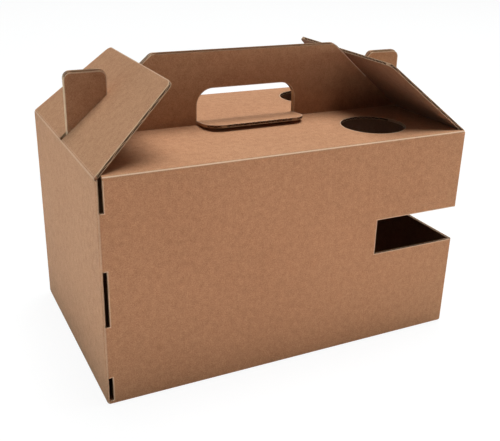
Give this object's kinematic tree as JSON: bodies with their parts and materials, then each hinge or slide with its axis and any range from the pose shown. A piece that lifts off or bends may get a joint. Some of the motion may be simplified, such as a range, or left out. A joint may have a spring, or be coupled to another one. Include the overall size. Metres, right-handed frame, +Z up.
{
  "type": "bottle carrier box",
  "caption": "Folded corrugated board carrying box with an upright handle between sloping side flaps, round bottle holes in the roof and windows round its corners.",
  "frame": {"origin": "middle of the base, on the surface the box stands on", "axes": "+X to the right along the front wall, +Y to the back, +Z up"},
  "size_m": [0.4, 0.25, 0.307],
  "materials": {
    "kraft_board": "matt"
  },
  "bodies": {
    "carrier": {"carrier_body": "kraft_board"},
    "left_flap": {"left_side_flap": "kraft_board"},
    "right_flap": {"right_side_flap": "kraft_board"},
    "finger_flap": {"grip_flap": "kraft_board"}
  },
  "joints": [
    {"name": "left_flap_hinge", "type": "hinge", "parent": "carrier", "child": "left_flap", "pos_m": [-0.1985, 0, 0.2285], "axis": [0, -1, 0], "range_deg": [0, 135]},
    {"name": "right_flap_hinge", "type": "hinge", "parent": "carrier", "child": "right_flap", "pos_m": [0.1985, 0, 0.2285], "axis": [0, 1, 0], "range_deg": [0, 135]},
    {"name": "finger_flap_hinge", "type": "hinge", "parent": "carrier", "child": "finger_flap", "pos_m": [0, -0.0016, 0.2325], "axis": [-1, 0, 0], "range_deg": [-6, 85]}
  ]
}
